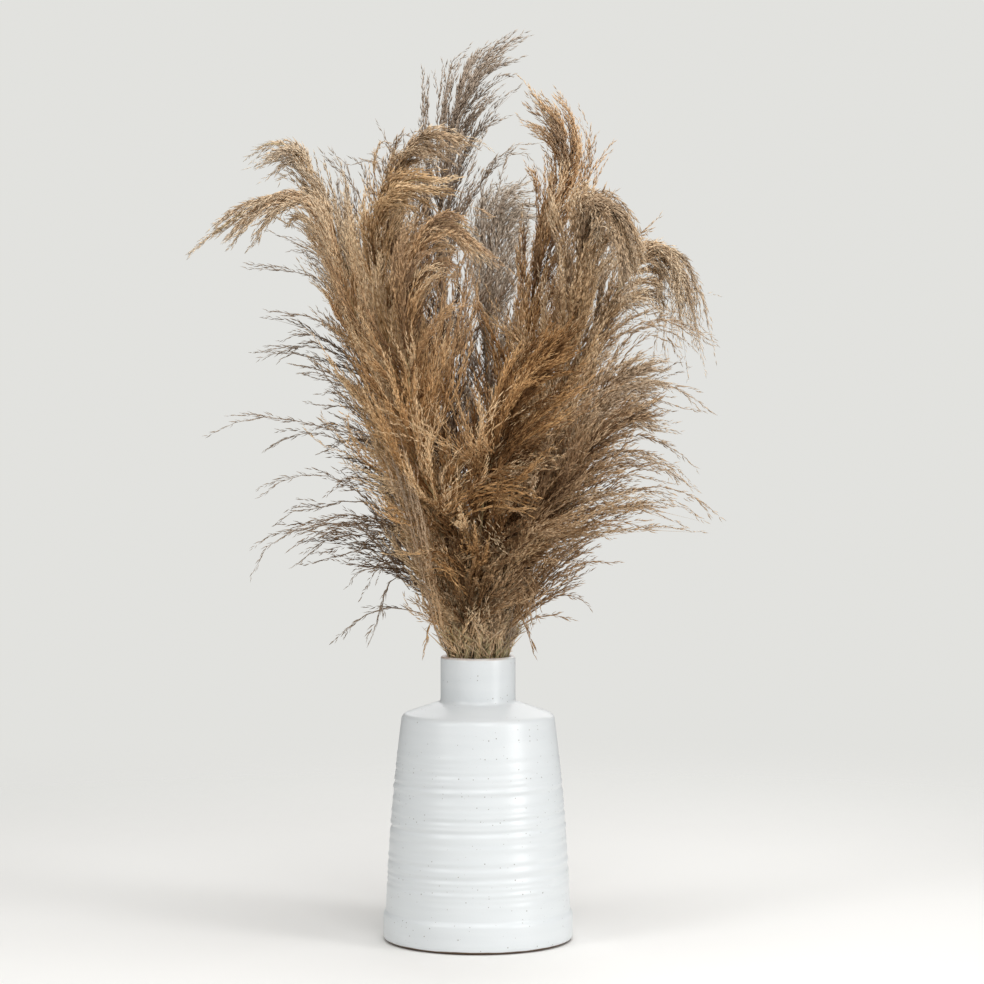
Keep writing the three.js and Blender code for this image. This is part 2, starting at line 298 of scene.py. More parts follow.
# Reeds. The cut stems of the grass, one for each plume: hollow straw, a little thicker towards the foot,
# with a swollen joint here and there. They stand on the vase's floor, cross as a hand-turned spiral in the
# neck and bear on its lip.
RING_ORDER = [
    "right_droop", "back_right", "right_tall", "back_low", "centre_back", "back_left",
    "tall_back", "left_fan", "left_hook", "upper_curl", "left_arch", "left_curl",
    "front_curl", "front_low", "right_low", "right_curl", "right_fan",
]
RING_RADIUS = 0.0278
RING_HEIGHT = 0.262
RING_START = math.radians(-60)
STEM_TILT = 0.22
STEM_FOOT = FLOOR + 0.001
STEM_TOP = 0.2972
STEM_RADIUS_FOOT = 0.0028
STEM_RADIUS_TOP = 0.0024
STEM_SIDES = 12
STEM_RINGS = 60
JOINT_SWELLING = 0.00035
JOINT_LENGTH = 0.004
LOW_JOINT = 0.09
LOW_JOINT_STEP = 0.004
HIGH_JOINT = 0.235
HIGH_JOINT_STEP = 0.006
STRAW_PALE = (0.40, 0.315, 0.165, 1)
STRAW_OLIVE = (0.21, 0.18, 0.085, 1)
STREAK_STRETCH = (1, 1, 0.03)
STREAK_SCALE = 900
STREAK_DEPTH = 0.0002
BLOTCH_SCALE = 35


def on_stem(name, travel, height):
    turn = RING_START + 2 * math.pi * RING_ORDER.index(name) / len(RING_ORDER)
    x = RING_RADIUS * math.cos(turn) - travel * math.sin(turn)
    y = RING_RADIUS * math.sin(turn) + travel * math.cos(turn)
    return np.array([x, y, height])


def stem_at(name, height):
    return on_stem(name, STEM_TILT * (height - RING_HEIGHT), height)


def unit(vectors):
    return vectors / np.maximum(np.linalg.norm(vectors, axis=-1, keepdims=True), 1e-9)


def make_stalks(paths, radii, sides):
    """Closed stalks, one for each path: rings of points at its steps, a flat root and a point at its tip.
    Returns the points, the triangles and, for each point, its stalk, side and step."""
    stalks, steps = radii.shape
    forward = unit(np.gradient(paths, axis=1))
    starts_upright = np.abs(forward[:, :1, 2:]) > 0.9
    helper = np.where(starts_upright, np.array([1.0, 0, 0]), np.array([0, 0, 1.0]))
    across = unit(np.cross(forward, helper))
    beside = np.cross(forward, across)
    around = np.linspace(0, 2 * math.pi, sides, endpoint=False)
    circle = (
        across[:, :, None, :] * np.cos(around)[:, None]
        + beside[:, :, None, :] * np.sin(around)[:, None]
    )
    rings = paths[:, :, None, :] + circle * radii[:, :, None, None]
    body = rings[:, :-1].reshape(stalks, -1, 3)
    points = np.concatenate([body, paths[:, -1:, :]], axis=1)
    side = np.arange(sides)
    beside_it = (side + 1) % sides
    triangles = []
    for step in range(steps - 2):
        low = step * sides
        high = low + sides
        triangles.append(np.stack([low + side, low + beside_it, high + beside_it], axis=1))
        triangles.append(np.stack([low + side, high + beside_it, high + side], axis=1))
    rim = (steps - 2) * sides
    tip = np.full(sides, rim + sides)
    triangles.append(np.stack([rim + side, rim + beside_it, tip], axis=1))
    root = np.arange(1, sides - 1)
    triangles.append(np.stack([root * 0, root + 1, root], axis=1))
    one = np.concatenate(triangles)
    each = points.shape[1]
    all_triangles = (one[None] + (np.arange(stalks) * each)[:, None, None]).reshape(-1, 3)
    step_of = np.append(np.repeat(np.arange(steps - 1), sides), steps - 1)
    side_of = np.append(np.tile(side, steps - 1), 0)
    labels = (np.repeat(np.arange(stalks), each), np.tile(side_of, stalks), np.tile(step_of, stalks))
    return points.reshape(-1, 3), all_triangles, labels


straw, straw_shader = new_finish("reed_straw", 0.55)
straw_place = add_node(straw, "ShaderNodeTexCoord").outputs["Object"]
streak = noise(straw, stretch(straw, straw_place, STREAK_STRETCH), STREAK_SCALE, detail=3)
blotch = noise(straw, straw_place, BLOTCH_SCALE, detail=3)
straw_share = calculate(straw, "ADD", streak, blotch)
straw_colour = mix_colours(straw, rescale(straw, straw_share, 0.75, 1.25), STRAW_OLIVE, STRAW_PALE)
straw_bump = bump(straw, 0.4, STREAK_DEPTH, streak)
set_inputs(straw, straw_shader, {"Base Color": straw_colour, "Normal": straw_bump})
stem_share = np.linspace(0, 1, STEM_RINGS)
for number, name in enumerate(RING_ORDER):
    stem_height = STEM_FOOT + (STEM_TOP - STEM_FOOT) * stem_share
    stem_path = np.array([stem_at(name, one_height) for one_height in stem_height])
    stem_radius = STEM_RADIUS_FOOT + (STEM_RADIUS_TOP - STEM_RADIUS_FOOT) * stem_share
    for joint in (LOW_JOINT + LOW_JOINT_STEP * (number % 5), HIGH_JOINT - HIGH_JOINT_STEP * (number % 7)):
        stem_radius = stem_radius + JOINT_SWELLING * np.exp(-(((stem_height - joint) / JOINT_LENGTH) ** 2))
    stem_points, stem_faces, _ = make_stalks(stem_path[None], stem_radius[None], STEM_SIDES)
    reed = new_piece("reed_" + name, stem_points, stem_faces.tolist())
    reed.data.materials.append(straw)
    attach(reed, "root")
    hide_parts("stem_" + name)


# Golden plumes. The flower heads of the grass, grown on their reeds: a thin spine with locks of long,
# thread-like branches, each set with dry husks. These are the golden-brown ones: three that arch or lean
# forward, a tall one at the right and a low one behind, with branches that keep close to the spine.
GOLDEN_ROUTES = {
    "right_tall": [(38, 8, 510), (51, 8, 620), (70, 6, 711), (87, 4, 766), (81, 0, 807), (52, -4, 843)],
    "back_low": [(24, 124, 480), (32, 162, 540), (40, 200, 582), (48, 238, 590)],
    "left_arch": [
        (-90, -40, 540), (-118, -55, 620), (-143, -62, 693),
        (-172, -66, 740), (-217, -66, 731), (-260, -64, 703),
    ],
    "front_curl": [
        (-54, -82, 472), (-66, -104, 560), (-68, -120, 645),
        (-52, -131, 694), (-26, -140, 711), (4, -146, 701),
    ],
    "front_low": [(8, -90, 462), (28, -112, 523), (54, -130, 571), (84, -142, 601)],
}
# How a plume grows: how many locks, how long and wide they are from foot to tip, how they bend, and how
# light (lift) and faded (bleach) they are. A stray is one long branch, through points in millimetres.
# The lift is partly the plume's own paleness and partly painted light and shade: it is high on the plumes at
# the left, which stand in light, and low on the low one at the front, which is in shade.
GOLDEN_HABIT = {
    "locks": 124, "first_lock": 0.012, "crowding": 0.7, "branchlets": 5, "branchlet_share": (0.28, 0.55),
    "reach": 0.145, "foot_reach": 0.55, "tip_reach": 0.8, "spread": 38, "foot_opening": 1.0,
    "full_fan_from": 0.4, "flare": 0.9, "sag": 0.06, "looseness": 0.13, "curl": 0.1,
    "tangle": 20, "tangle_height": 0.24, "strays": [], "lift": 0, "bleach": 0.15,
}
TALL_STRAYS = [
    [(92, 0, 711), (115, -6, 771), (126, -10, 787), (136, -14, 798)],
    [(88, 2, 690), (105, 2, 746), (114, 1, 778), (118, 0, 796)],
    [(90, 0, 680), (108, -4, 732), (119, -8, 762), (128, -12, 778)],
    [(87, 0, 721), (106, 10, 779), (115, 16, 797), (120, 22, 808)],
]
ARCH_STRAYS = [
    [(-46, -60, 380), (-58, -76, 420), (-70, -90, 462), (-80, -98, 506)],
    [(-50, -58, 386), (-64, -74, 428), (-77, -86, 470), (-84, -94, 500)],
    [(-42, -64, 390), (-54, -80, 430), (-64, -94, 468), (-76, -104, 512)],
    [(-52, -56, 372), (-66, -70, 414), (-80, -82, 452), (-90, -90, 486)],
    [(-38, -50, 314), (-47, -66, 362), (-58, -80, 418), (-72, -94, 480)],
    [(-36, -52, 318), (-44, -68, 366), (-54, -84, 420), (-67, -98, 482)],
    [(-40, -48, 310), (-50, -64, 356), (-62, -78, 412), (-78, -92, 476)],
    [(-34, -54, 316), (-42, -70, 362), (-51, -86, 414), (-62, -100, 470)],
    [(-42, -46, 314), (-53, -62, 362), (-66, -76, 420), (-82, -90, 486)],
]
CURL_STRAYS = [
    [(-34, -104, 560), (-28, -118, 610), (-20, -130, 655), (-10, -140, 690)],
    [(-40, -106, 570), (-36, -122, 620), (-30, -134, 662), (-20, -144, 696)],
    [(-36, -102, 545), (-30, -116, 598), (-24, -128, 640), (-18, -138, 676)],
    [(-30, -100, 548), (-22, -114, 596), (-14, -126, 636), (-6, -136, 668)],
    [(-44, -108, 580), (-40, -122, 628), (-36, -134, 664), (-30, -142, 690)],
    [(-26, -98, 545), (-17, -112, 600), (-8, -124, 645), (1, -134, 680)],
    [(-22, -98, 540), (-12, -110, 590), (-4, -120, 632), (3, -130, 668)],
    [(-30, -102, 552), (-20, -116, 606), (-11, -128, 650), (-2, -138, 686)],
    [(-26, -100, 560), (-18, -114, 612), (-12, -126, 652), (-7, -136, 690)],
    [(-20, -96, 530), (-10, -108, 578), (-3, -118, 618), (2, -128, 655)],
    [(-32, -100, 540), (-24, -114, 592), (-15, -126, 640), (-8, -136, 682)],
]
LOW_FRONT_STRAYS = [
    [(-40, -88, 430), (-14, -104, 452), (18, -116, 462), (52, -122, 456)],
    [(-36, -88, 426), (-10, -106, 446), (22, -118, 454), (56, -124, 446)],
    [(-38, -86, 436), (-12, -102, 460), (18, -114, 470), (48, -120, 468)],
    [(-30, -86, 424), (-4, -102, 442), (26, -114, 448), (54, -120, 438)],
    [(-34, -90, 432), (-6, -108, 452), (26, -120, 458), (60, -126, 448)],
    [(-28, -88, 420), (0, -104, 436), (28, -114, 440), (54, -118, 430)],
    [(-42, -86, 440), (-16, -100, 464), (14, -110, 476), (44, -116, 476)],
    [(-26, -90, 428), (2, -106, 446), (30, -118, 450), (58, -124, 440)],
    [(-56, -66, 378), (-42, -78, 386), (-28, -84, 380), (-18, -86, 366)],
    [(-54, -66, 372), (-40, -80, 378), (-26, -86, 372), (-14, -88, 360)],
    [(-58, -64, 384), (-44, -76, 394), (-30, -84, 390), (-18, -88, 378)],
    [(-52, -68, 368), (-38, -80, 372), (-24, -86, 366), (-12, -88, 354)],
    [(-60, -62, 380), (-48, -76, 388), (-36, -84, 382), (-24, -88, 370)],
]
GOLDEN_CHANGES = {
    "right_tall": {
        "spread": 35, "foot_opening": 1.25, "locks": 171, "tip_reach": 0.72, "bleach": 0.45, "lift": 0.06,
        "curl": 0.04, "strays": TALL_STRAYS,
    },
    "left_arch": {
        "spread": 41, "foot_opening": 0.7, "bleach": 0.95, "tip_reach": 0.7, "lift": 0.58, "locks": 138,
        "strays": ARCH_STRAYS,
    },
    "front_curl": {
        "locks": 156, "spread": 45, "foot_opening": 1.15, "bleach": 0.4, "lift": 0.2, "sag": 0.14,
        "tangle": 44, "curl": 0.07, "strays": CURL_STRAYS,
    },
    "front_low": {"locks": 144, "bleach": 0.0, "lift": -0.36, "tangle": 50, "strays": LOW_FRONT_STRAYS},
}
GOLDEN_COLOURS = {
    "stalk": (0.52, 0.41, 0.22, 1),
    "deep": (0.15, 0.068, 0.022, 1),
    "middle": (0.44, 0.234, 0.09, 1),
    "light": (0.73, 0.44, 0.2, 1),
    "pale": (0.88, 0.635, 0.375, 1),
    "tip": (0.72, 0.6, 0.46, 1),
}
EVEN_HEIGHT = 0.318
FAN_HEIGHT = 0.400
FAN_RADIUS = 0.050
SPINE_STEPS = 120
SPINE_EVERY = 3
SPINE_SIDES = 8
SPINE_RADIUS_TIP = 0.0004
SPINE_OVERLAP = 0.0006
RUN_STEPS = 16
FOOT_FAN = 200
FULL_FAN = 360
TIP_OPENING = 0.42
LONGEST_LOCK_AT = 0.32
GOLDEN_SHARE = 0.618034
LAST_LOCK = 0.917
LOCKS_IN_TUFT = 3
LOCK_SCATTER = 0.014
TURN_SCATTER = 0.06
TUFT_OPENNESS = (0.2, 1.1)
LOCK_OPENNESS = (0.8, 1.2)
ROOM_AT_TIP = 0.03
BRANCHLET_ENDS = (0.7, 1.0)
MAIN_LEAN = 0.05
WAVE_SIZE = 0.03
FULL_TURN = 6.3
TUFT_TONE = (-0.06, 0.84)
LOCK_TONE = 0.24
BRANCH_TONE = 0.22
# Painted shade: tone taken off each branch towards its root, inside the plume where shade falls, and off the
# locks near the plume's foot. Near the root this is partly also the less bleached straw of the real grass.
PAINTED_INNER_SHADE = 0.72
PAINTED_FOOT_SHADE = 0.2
BRANCH_STEPS = 7
STALK_EVERY = 2
STALK_SIDES = 3
BRANCH_RADIUS_ROOT = 0.00055
BRANCH_RADIUS_TIP = 0.00022
HUSK_GAP = 0.0036
HUSK_LENGTH = 0.0100
HUSK_WIDTH = 0.0015
HUSK_DEPTH = 0.0008
HUSK_WIDEST = 0.38
HUSK_ANGLES = (4, 27)
HUSK_SIZES = (0.7, 1.25)
HUSK_TONE = (-0.08, 0.12)
TANGLE_BRANCHES = 5
TANGLE_SINK = 0.012
TANGLE_SIZES = (0.04, 0.075)
TANGLE_BEND = 0.42
TANGLE_TONE = (0.3, 1.1)
STRAY_BRANCHES = 4
STRAY_STEPS = 24
STRAY_LEAN = 0.3
STRAY_TONE = (0.1, 0.7)
FUZZ_COUNT = 93
FUZZ_RADIUS = 0.00045
FUZZ_SIZES = (0.014, 0.04)
FUZZ_BEND = 0.13
STALK_TONE = 0.05
LEAST_TONE = 0.14
STRAW_TONE = -0.12
MOST_TONE = 0.94
SIDE_TONE = 0.02
SIDE_OUT = 0.01
STALK_END = 0.09
HUSK_START = 0.12
FIRST_SEED = 100
PLUME_LOWEST = 0.2885
LIP_INSIDE = NECK_RADIUS - WALL - 0.001
LIP_OUTSIDE = NECK_RADIUS + 0.003


def smooth_through(points, steps):
    """A curve through the points with even turns, as points at equal lengths along it."""
    points = np.array(points)
    around = np.concatenate([[2 * points[0] - points[1]], points, [2 * points[-1] - points[-2]]])
    gaps = np.sqrt(np.linalg.norm(np.diff(around, axis=0), axis=1))[:, None]
    runs = [points[:1]]
    share = np.linspace(0, 1, RUN_STEPS + 1)[1:, None]
    for i in range(len(points) - 1):
        before, start, end, after = around[i : i + 4]
        gap_in, gap, gap_out = gaps[i : i + 3]
        leave = (start - before) / gap_in - (end - before) / (gap_in + gap) + (end - start) / gap
        arrive = (end - start) / gap - (after - start) / (gap + gap_out) + (after - end) / gap_out
        runs.append(
            (2 * share**3 - 3 * share**2 + 1) * start
            + (share**3 - 2 * share**2 + share) * leave * gap
            + (3 * share**2 - 2 * share**3) * end
            + (share**3 - share**2) * arrive * gap
        )
    curve = np.concatenate(runs)
    travelled = np.append(0, np.cumsum(np.linalg.norm(np.diff(curve, axis=0), axis=1)))
    even = np.linspace(0, travelled[-1], steps + 1)
    even_points = [np.interp(even, travelled, curve[:, axis]) for axis in range(3)]
    return np.stack(even_points, axis=1), travelled[-1]


def spine_of(name, route):
    fan_travel = math.sqrt(FAN_RADIUS**2 - RING_RADIUS**2)
    foot = [
        stem_at(name, STEM_TOP - SPINE_OVERLAP),
        stem_at(name, EVEN_HEIGHT),
        on_stem(name, fan_travel, FAN_HEIGHT),
    ]
    return smooth_through(foot + [np.array(point) / 1000 for point in route], SPINE_STEPS)


def look_up(table, place):
    """Values of a table of evenly spaced rows at places from 0 to 1."""
    spot = np.clip(place, 0, 1) * (len(table) - 1)
    low = np.minimum(spot.astype(int), len(table) - 2)
    share = (spot - low)[..., None]
    return table[low] * (1 - share) + table[low + 1] * share


def any_way(draw, count):
    return unit(draw.normal(size=(count, 3)))


def push(paths, ways, sizes):
    """The paths with each of their steps moved along the path's own way by the size for that step."""
    return paths + ways[:, None, :] * sizes[..., None]


def lock_branches(draw, spine, length, habit):
    """The branches of a plume's locks, as paths from root to tip: each lock is one long branch, and shorter
    ones that leave it and keep close to it."""
    locks = habit["locks"]
    tufts = locks // LOCKS_IN_TUFT + 1
    tuft = np.arange(locks) // LOCKS_IN_TUFT
    spot = (np.arange(tufts) + draw.uniform(0, 1, tufts)) / tufts
    first_lock, foot_reach, foot_opening = habit["first_lock"], habit["foot_reach"], habit["foot_opening"]
    along = first_lock + (LAST_LOCK - first_lock) * spot ** habit["crowding"]
    along = np.clip(along[tuft] + draw.uniform(-LOCK_SCATTER, LOCK_SCATTER, locks), first_lock, LAST_LOCK)
    turn = (tuft * GOLDEN_SHARE + draw.uniform(-TURN_SCATTER, TURN_SCATTER, locks)) % 1
    fan = FOOT_FAN + (FULL_FAN - FOOT_FAN) * smooth_step(along, 0, habit["full_fan_from"])
    side_turn = np.radians(fan * (turn - 0.5))
    opening = foot_opening + (TIP_OPENING - foot_opening) * along
    opening = opening * (0.55 + 0.45 * smooth_step(along, 0.02, 0.18))
    openness = draw.uniform(*TUFT_OPENNESS, tufts)[tuft] * draw.uniform(*LOCK_OPENNESS, locks)
    opening = np.radians(habit["spread"] * opening * openness)
    taper = 1 + (habit["tip_reach"] - 1) * smooth_step(along, LONGEST_LOCK_AT, 1)
    taper = taper * (foot_reach + (1 - foot_reach) * smooth_step(along, 0, LONGEST_LOCK_AT))
    reach = habit["reach"] * taper * (0.62 + 0.5 * draw.uniform(0, 1, locks) ** 1.3)
    reach = np.minimum(reach, (1.0 - along) * length * (1.2 - 0.5 * openness) + ROOM_AT_TIP)
    reach = reach * (1 - 0.45 * draw.uniform(0, 1, locks) * smooth_step(along, 0.5, 0.9))
    tangents = unit(np.gradient(spine, axis=0))
    root = look_up(spine, along)
    forward = unit(look_up(tangents, along))
    outward = (root + look_up(spine, along + 0.3)) * np.array([1, 1, 0])
    outward = unit(outward - forward * np.sum(outward * forward, axis=1, keepdims=True))
    sideways = np.cross(forward, outward)
    side = outward * np.cos(side_turn)[:, None] + sideways * np.sin(side_turn)[:, None]

    each = 1 + habit["branchlets"]
    lock = np.repeat(np.arange(locks), each)
    count = len(lock)
    is_main = np.arange(count) % each == 0
    least, most = habit["branchlet_share"]
    start = np.where(is_main, 0, draw.uniform(0.05, 1 - least, count))
    far_end = np.minimum(start + draw.uniform(least, most, count), draw.uniform(*BRANCHLET_ENDS, count))
    end = np.where(is_main, 1, far_end)
    share = np.linspace(0, 1, BRANCH_STEPS)
    out = start[:, None] + (end - start)[:, None] * share
    travel = reach[lock][:, None] * out
    place = along[lock][:, None] + travel * np.cos(opening[lock])[:, None] / length
    centre = look_up(spine, place)
    ahead = unit(look_up(tangents, place))
    centre = centre + ahead * (np.maximum(place - 1, 0) * length)[..., None]
    away = side[lock][:, None, :]
    away = unit(away - ahead * np.sum(away * ahead, axis=-1, keepdims=True))
    wide = (reach * np.sin(opening))[lock][:, None] * out ** habit["flare"]
    paths = centre + away * wide[..., None]
    rise = ahead[..., 2] * np.cos(opening)[lock][:, None] + away[..., 2] * np.sin(opening)[lock][:, None]
    droop = habit["sag"] * reach * smooth_step(along, 0, 0.3)
    paths[..., 2] -= droop[lock][:, None] * out**2.2 * (1.5 - 1.2 * np.abs(rise) * rise)
    own_length = (reach[lock] * (end - start))[:, None]
    looseness = draw.uniform(0.4, 1, (count, 1)) * habit["looseness"]
    lean_share = np.where(is_main[:, None], MAIN_LEAN, looseness)
    leaning = any_way(draw, count)[:, None, :] * (own_length * lean_share)[..., None]
    paths = paths + leaning * (share**1.2)[None, :, None]
    wave = np.sin(share * draw.uniform(4, 9, (count, 1)) + draw.uniform(0, FULL_TURN, (count, 1))) * share
    paths = push(paths, any_way(draw, count), own_length * WAVE_SIZE * wave)
    swing = habit["curl"] * reach * draw.uniform(0.3, 1, tufts)[tuft]
    swing_turn = out * draw.uniform(3.5, 6.5, tufts)[tuft][lock][:, None]
    swing_turn = swing_turn + draw.uniform(0, FULL_TURN, tufts)[tuft][lock][:, None]
    swing_size = swing[lock][:, None] * (np.sin(swing_turn) * out)
    paths = push(paths, any_way(draw, tufts)[tuft][lock], swing_size)
    tone = draw.uniform(*TUFT_TONE, tufts)[tuft][lock] + draw.uniform(0, LOCK_TONE, locks)[lock]
    tone = tone + draw.uniform(0, BRANCH_TONE, count)
    # Painted shade: each branch darker towards its root and towards the plume's foot. The lift raises or
    # lowers the whole plume's tone, partly as painted light and shade.
    shade = PAINTED_INNER_SHADE * (1 - out) ** 1.5 + PAINTED_FOOT_SHADE * (1 - smooth_step(place, 0.06, 0.36))
    tone = np.clip(habit["lift"] + tone[:, None] - shade, 0, 1)
    fade = habit["bleach"] * (0.35 + 0.65 * out) * smooth_step(place, 0.42, 1.0)
    return paths, tone, fade, is_main


def foot_tangle(draw, spine, length, habit):
    """Short curled tufts round the lower part of the plume, each a few branches that keep together. They
    cross the long locks and fill the bunch above the vase's lip."""
    tufts = habit["tangle"]
    low = habit["tangle_height"] * draw.uniform(0, 1, tufts) ** 1.4 - TANGLE_SINK
    root = look_up(spine, low / length)
    root[:, 2] += np.minimum(low, 0)
    outward = unit(root * np.array([1, 1, 0]))
    across = np.cross([0, 0, 1], outward)
    wild = draw.uniform(0.3, 1, tufts) * (0.3 + 0.7 * smooth_step(low, -0.01, 0.06))
    way = outward * (draw.uniform(0.05, 0.55, tufts) * wild)[:, None]
    way = way + across * (draw.uniform(-1.2, 1.2, tufts) * wild)[:, None]
    way = unit(way + np.array([0, 0, 1]) * draw.uniform(0.2, 0.9, (tufts, 1)))
    size = draw.uniform(*TANGLE_SIZES, tufts) + 0.28 * np.maximum(low, 0)
    bend = any_way(draw, tufts)
    bend_turn = draw.uniform(1.4, 3.8, tufts)
    bend_size = TANGLE_BEND * wild * size
    # Half the plume's lift counts on its tufts: partly their own tone, partly painted light and shade.
    tuft_tone = habit["lift"] * 0.5 + draw.uniform(*TANGLE_TONE, tufts)
    tuft = np.repeat(np.arange(tufts), TANGLE_BRANCHES)
    count = len(tuft)
    share = np.linspace(0, 1, BRANCH_STEPS)
    own_way = unit(way[tuft] + any_way(draw, count) * 0.2)
    own_size = size[tuft] * draw.uniform(0.6, 1.0, count)
    curl = np.sin(share * bend_turn[tuft][:, None]) * bend_size[tuft][:, None]
    paths = (root[tuft] + any_way(draw, count) * 0.002)[:, None, :]
    paths = push(paths, own_way, own_size[:, None] * share)
    paths = push(paths, bend[tuft], curl)
    # Painted light: the tufts just above the lip are made paler, where the bunch is in shade.
    tuft_tone = tuft_tone + 0.5 * (1 - smooth_step(low, 0.01, 0.07))
    tone = tuft_tone[tuft] + draw.uniform(0, 0.25, count)
    # Painted shade: each tuft darker towards its root.
    tone = np.clip(tone[:, None] - 0.25 * PAINTED_INNER_SHADE * (1 - share), 0, 1)
    is_main = np.arange(count) % TANGLE_BRANCHES == 0
    return paths, tone, np.tile(0.02 + share * 0.14, (count, 1)), is_main


def stray_branches(draw, strays, bleach):
    """Single branches that stand away from the plume, through the points given in millimetres, each with a
    few short side branches."""
    if not strays:
        none = np.zeros((0, BRANCH_STEPS))
        return np.zeros((0, BRANCH_STEPS, 3)), none, none, np.zeros(0, bool)
    runs = [smooth_through(np.array(stray) / 1000, STRAY_STEPS) for stray in strays]
    count = len(strays) * STRAY_BRANCHES
    is_main = np.arange(count) % STRAY_BRANCHES == 0
    start = np.where(is_main, 0, draw.uniform(0.2, 0.75, count))
    end = np.where(is_main, 1, np.minimum(start + draw.uniform(0.14, 0.3, count), 0.97))
    share = np.linspace(0, 1, BRANCH_STEPS)
    out = start[:, None] + (end - start)[:, None] * share
    paths = np.array([look_up(runs[i // STRAY_BRANCHES][0], out[i]) for i in range(count)])
    lengths = np.array([runs[i // STRAY_BRANCHES][1] for i in range(count)]) * (end - start)
    leaning = any_way(draw, count) * np.where(is_main, 0, lengths * STRAY_LEAN)[:, None]
    paths = paths + leaning[:, None, :] * share[None, :, None]
    tone = np.repeat(draw.uniform(*STRAY_TONE, len(strays)), STRAY_BRANCHES)
    tone = np.tile(tone[:, None], (1, BRANCH_STEPS))
    return paths, tone, bleach * (0.2 + 0.6 * out), is_main


def foot_fuzz(draw, spine, length, count):
    """Fine bare threads, matted round the reeds where they leave the vase."""
    start = look_up(spine, draw.uniform(0, 0.03, count) / length)
    start[:, 2] += draw.uniform(-0.03, 0.006, count)
    start[:, :2] *= draw.uniform(0.5, 1.08, (count, 1))
    way = unit(any_way(draw, count) * np.array([0.9, 0.9, 0.4]) + np.array([0, 0, 0.9]))
    size = draw.uniform(*FUZZ_SIZES, (count, 1))
    share = np.linspace(0, 1, BRANCH_STEPS)
    turn = share * draw.uniform(1.5, 5, (count, 1))
    first = any_way(draw, count)
    second = unit(np.cross(first, way))
    paths = push(start[:, None, :], way, size * share)
    paths = push(paths, first, size * FUZZ_BEND * np.sin(turn))
    paths = push(paths, second, size * FUZZ_BEND * (1 - np.cos(turn)))
    tone = np.where(draw.uniform(0, 1, count) < 0.5, STRAW_TONE, draw.uniform(0.4, 1, count))
    return paths, tone, np.tile(0.25 + share * 0.4, (count, 1))


def husks_on(draw, paths, tone, out):
    """Husks along the branches: thin four-sided seeds that leave the branch at a small angle."""
    sizes = np.linalg.norm(np.diff(paths, axis=1), axis=2).sum(axis=1)
    counts = np.maximum((sizes / HUSK_GAP).astype(int), 3)
    branch = np.repeat(np.arange(len(paths)), counts)
    number = np.concatenate([np.arange(count) for count in counts])
    place = 0.08 + 0.92 * (number + draw.uniform(0.2, 1.0, len(branch))) / counts[branch]
    spot = np.clip(place, 0, 1) * (BRANCH_STEPS - 1)
    low = np.minimum(spot.astype(int), BRANCH_STEPS - 2)
    share = spot - low

    def on_branch(values, share):
        return values[branch, low] * (1 - share) + values[branch, low + 1] * share

    root = on_branch(paths, share[:, None])
    forward = unit(paths[branch, low + 1] - paths[branch, low])
    side = any_way(draw, len(branch))
    side = unit(side - forward * np.sum(side * forward, axis=1, keepdims=True))
    angle = np.radians(draw.uniform(*HUSK_ANGLES, (len(branch), 1)))
    way = forward * np.cos(angle) + side * np.sin(angle)
    width = np.cross(way, side)
    lift = np.cross(width, way)
    size = draw.uniform(*HUSK_SIZES, (len(branch), 1)) * (1.05 - 0.35 * place[:, None])
    middle = root + way * HUSK_LENGTH * HUSK_WIDEST * size
    flank = width * HUSK_WIDTH / 2 * size
    points = np.stack(
        [
            root,
            root + way * HUSK_LENGTH * size,
            middle + flank + lift * HUSK_DEPTH * size,
            middle - flank + lift * HUSK_DEPTH * size,
        ],
        axis=1,
    )
    one = np.array([[0, 1, 2], [0, 3, 1], [0, 2, 3], [1, 3, 2]])
    triangles = (one[None] + (np.arange(len(branch)) * 4)[:, None, None]).reshape(-1, 3)
    husk_tone = np.clip(on_branch(tone, share) + draw.uniform(*HUSK_TONE, len(branch)), 0, 0.96)
    husk_out = np.clip(on_branch(out, share), 0, 0.94)
    tones = husk_tone[:, None] + np.array([0, 0.02, 0.04, 0.0])
    outs = husk_out[:, None] + np.array([0, 0.05, 0.0, 0.03])
    return points.reshape(-1, 3), triangles, tones.reshape(-1), outs.reshape(-1)


def keep_off_lip(paths):
    """Lifts what would cut the vase's lip."""
    from_axis = np.hypot(paths[..., 0], paths[..., 1])
    over_lip = (from_axis > LIP_INSIDE) & (from_axis < LIP_OUTSIDE)
    paths[..., 2] = np.where(over_lip, np.maximum(paths[..., 2], PLUME_LOWEST), paths[..., 2])


def keep_in_neck(paths):
    """Draws in the threads that would cut the neck, and lets them out only as they rise above its lip."""
    from_axis = np.hypot(paths[..., 0], paths[..., 1])
    room = LIP_INSIDE + np.maximum(paths[..., 2] - PLUME_LOWEST, 0)
    paths[..., :2] *= np.minimum(1, room / from_axis)[..., None]


